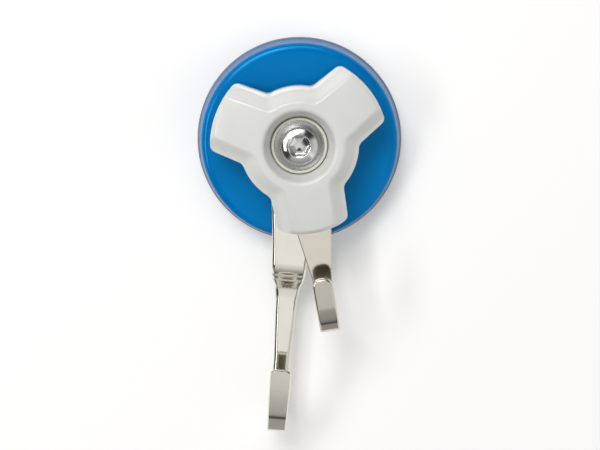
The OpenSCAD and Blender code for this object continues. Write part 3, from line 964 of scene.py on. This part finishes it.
def make_floor():
    """Plain white floor that keeps the shadow near the object and fades to a white background far off."""
    mesh = bpy.data.meshes.new("floor")
    corners = [(-1, -1), (1, -1), (1, 1), (-1, 1)]
    mesh.from_pydata([(x * FLOOR_HALF, y * FLOOR_HALF, FLOOR_Z) for x, y in corners], [], [(0, 1, 2, 3)])
    floor = bpy.data.objects.new("floor", mesh)
    bpy.context.scene.collection.objects.link(floor)
    mat, nodes, shader, coord = base_material("floor_white", FLOOR_COLOR, 0.8)
    shader.inputs["Specular IOR Level"].default_value = 0.0
    path = nodes.new("ShaderNodeLightPath")
    seen = math_node(nodes, "MAXIMUM", (path, "Is Camera Ray"), (path, "Is Glossy Ray"))
    seen = math_node(nodes, "MAXIMUM", (seen, "Value"), (path, "Is Transmission Ray"))
    reach = vector_node(nodes, "LENGTH", (coord, "Object"))
    glow = map_range(nodes, (reach, "Value"), GLOW_REACH, GLOW_LEVELS)
    gain = math_node(nodes, "MULTIPLY", (seen, "Value"), (glow, "Result"))
    shader.inputs["Emission Color"].default_value = (1, 1, 1, 1)
    link(nodes, gain, "Value", shader, "Emission Strength")
    mesh.materials.append(mat)


# Surround: brightness by tilt from overhead, in degrees

CEILING = ((90, 0.32), (82, 0.30), (79, 0.05), (40, 0.05), (30, 0.08), (22, 0.26), (18, 0.42), (14, 0.70),
           (11.5, 0.94), (0, 0.96))
FRONT_WALL = ((90, 0.06), (80, 0.06), (78, 0.04), (69, 0.04), (66, 0.28), (61, 0.33), (54, 0.38), (46, 0.46),
              (38, 0.58), (30, 0.63), (22, 0.51), (18, 0.37), (14, 0.14), (11.5, 0.0))
SIDE_WALL = ((90, 0.5), (70, 0.6), (52, 0.75), (42, 0.65), (30, 0.45), (22, 0.2), (15, 0.0))
REAR_WALL = ((90, 0.2), (60, 0.3), (54, 0.4), (50, 1.2), (36, 1.2), (31, 0.6), (25, 0.45), (18, 0.2),
             (12, 0.0))

# Each wall's compass angle, the half-widths where it starts and ends fading, and its brightness
WALLS = ((-80, 36, 52, FRONT_WALL), (-12, 26, 44, SIDE_WALL), (122, 48, 60, REAR_WALL))

# The dark camera stand: tilt of its middle, angles from it where it ends and is full, light that it leaves
STAND_TILT = 8.5
STAND_FADE = (9.5, 6.0)
STAND_LEVEL = 0.06


def cosine(degrees):
    return math.cos(math.radians(degrees))


def sine(degrees):
    return math.sin(math.radians(degrees))


def level_ramp(nodes, height, stops):
    """Brightness by the height of a direction, from the horizon at 0 to overhead at 1."""
    ramp = nodes.new("ShaderNodeValToRGB")
    elements = ramp.color_ramp.elements
    while len(elements) < len(stops):
        elements.new(0.5)
    for element, (tilt, level) in zip(elements, stops):
        element.position = max(0.0, cosine(tilt))
        element.color = (level, level, level, 1)
    link(nodes, height, "Z", ramp, "Fac")
    return ramp


def make_world():
    """Soft studio surround: a bright ceiling with a dark camera stand in it, uneven walls and a dark left."""
    world = bpy.data.worlds.new("studio")
    bpy.context.scene.world = world
    world.use_nodes = True
    nodes = world.node_tree.nodes
    back = nodes["Background"]
    coord = nodes.new("ShaderNodeTexCoord")
    height = nodes.new("ShaderNodeSeparateXYZ")
    link(nodes, coord, "Generated", height, "Vector")
    plan = vector_node(nodes, "MULTIPLY", (coord, "Generated"), (1.0, 1.0, 0.0))
    flat = vector_node(nodes, "NORMALIZE", (plan, "Vector"))
    total = (level_ramp(nodes, height, CEILING), "Color")
    for middle, inner, outer, stops in WALLS:
        towards = vector_node(nodes, "DOT_PRODUCT", (flat, "Vector"), (cosine(middle), sine(middle), 0.0))
        weight = map_range(nodes, (towards, "Value"), (cosine(outer), cosine(inner)))
        wall = level_ramp(nodes, height, stops)
        total = (math_node(nodes, "MULTIPLY_ADD", (wall, "Color"), (weight, "Result"), total), "Value")
    stand_at = (0.0, sine(STAND_TILT), cosine(STAND_TILT))
    towards = vector_node(nodes, "DOT_PRODUCT", (coord, "Generated"), stand_at)
    fade = [cosine(tilt) for tilt in STAND_FADE]
    stand = map_range(nodes, (towards, "Value"), fade, (1.0, STAND_LEVEL))
    level = math_node(nodes, "MULTIPLY", total, (stand, "Result"))
    back.inputs["Color"].default_value = (1.0, 0.995, 0.985, 1.0)
    link(nodes, level, "Value", back, "Strength")


# Lamps and camera, in metres and watts

LAMP_AIM = Vector((0.0, -0.01, 0.0))
LAMPS = {
    "key": ((-0.40, 0.65, 1.053), (0.6, 0.5), 4.2),
    "top_strip": ((-0.225, 0.84, 0.966), (0.9, 0.18), 2.4),
    "left_strip": ((-0.875, -0.04, 0.95), (0.7, 0.18), 2.9),
}
CAMERA_TILT = 8.1
CAMERA_AIM = Vector((0.0002, -0.027, 0.0))
CAMERA_FAR = 0.7
CAMERA_LENS = 135.0
CAMERA_SENSOR = 36.0


def add_lamp(name, at, size, power):
    """A rectangular lamp that faces the object."""
    data = bpy.data.lights.new(name, "AREA")
    data.shape = "RECTANGLE"
    data.size, data.size_y = size
    data.energy = power
    lamp = bpy.data.objects.new(name, data)
    lamp.location = at
    lamp.rotation_euler = (LAMP_AIM - Vector(at)).to_track_quat("-Z", "Y").to_euler()
    bpy.context.scene.collection.objects.link(lamp)


def make_camera():
    """Camera square to the wall apart from a small tilt, as in the photograph."""
    data = bpy.data.cameras.new("camera")
    data.lens = CAMERA_LENS
    data.sensor_width = CAMERA_SENSOR
    camera = bpy.data.objects.new("camera", data)
    camera.location = CAMERA_AIM + CAMERA_FAR * Vector((0.0, sine(CAMERA_TILT), cosine(CAMERA_TILT)))
    camera.rotation_euler = (-math.radians(CAMERA_TILT), 0.0, 0.0)
    bpy.context.scene.collection.objects.link(camera)
    bpy.context.scene.camera = camera


make_floor()
make_world()
for name, lamp in LAMPS.items():
    add_lamp(name, *lamp)
make_camera()
bpy.context.scene.view_settings.view_transform = "Standard"
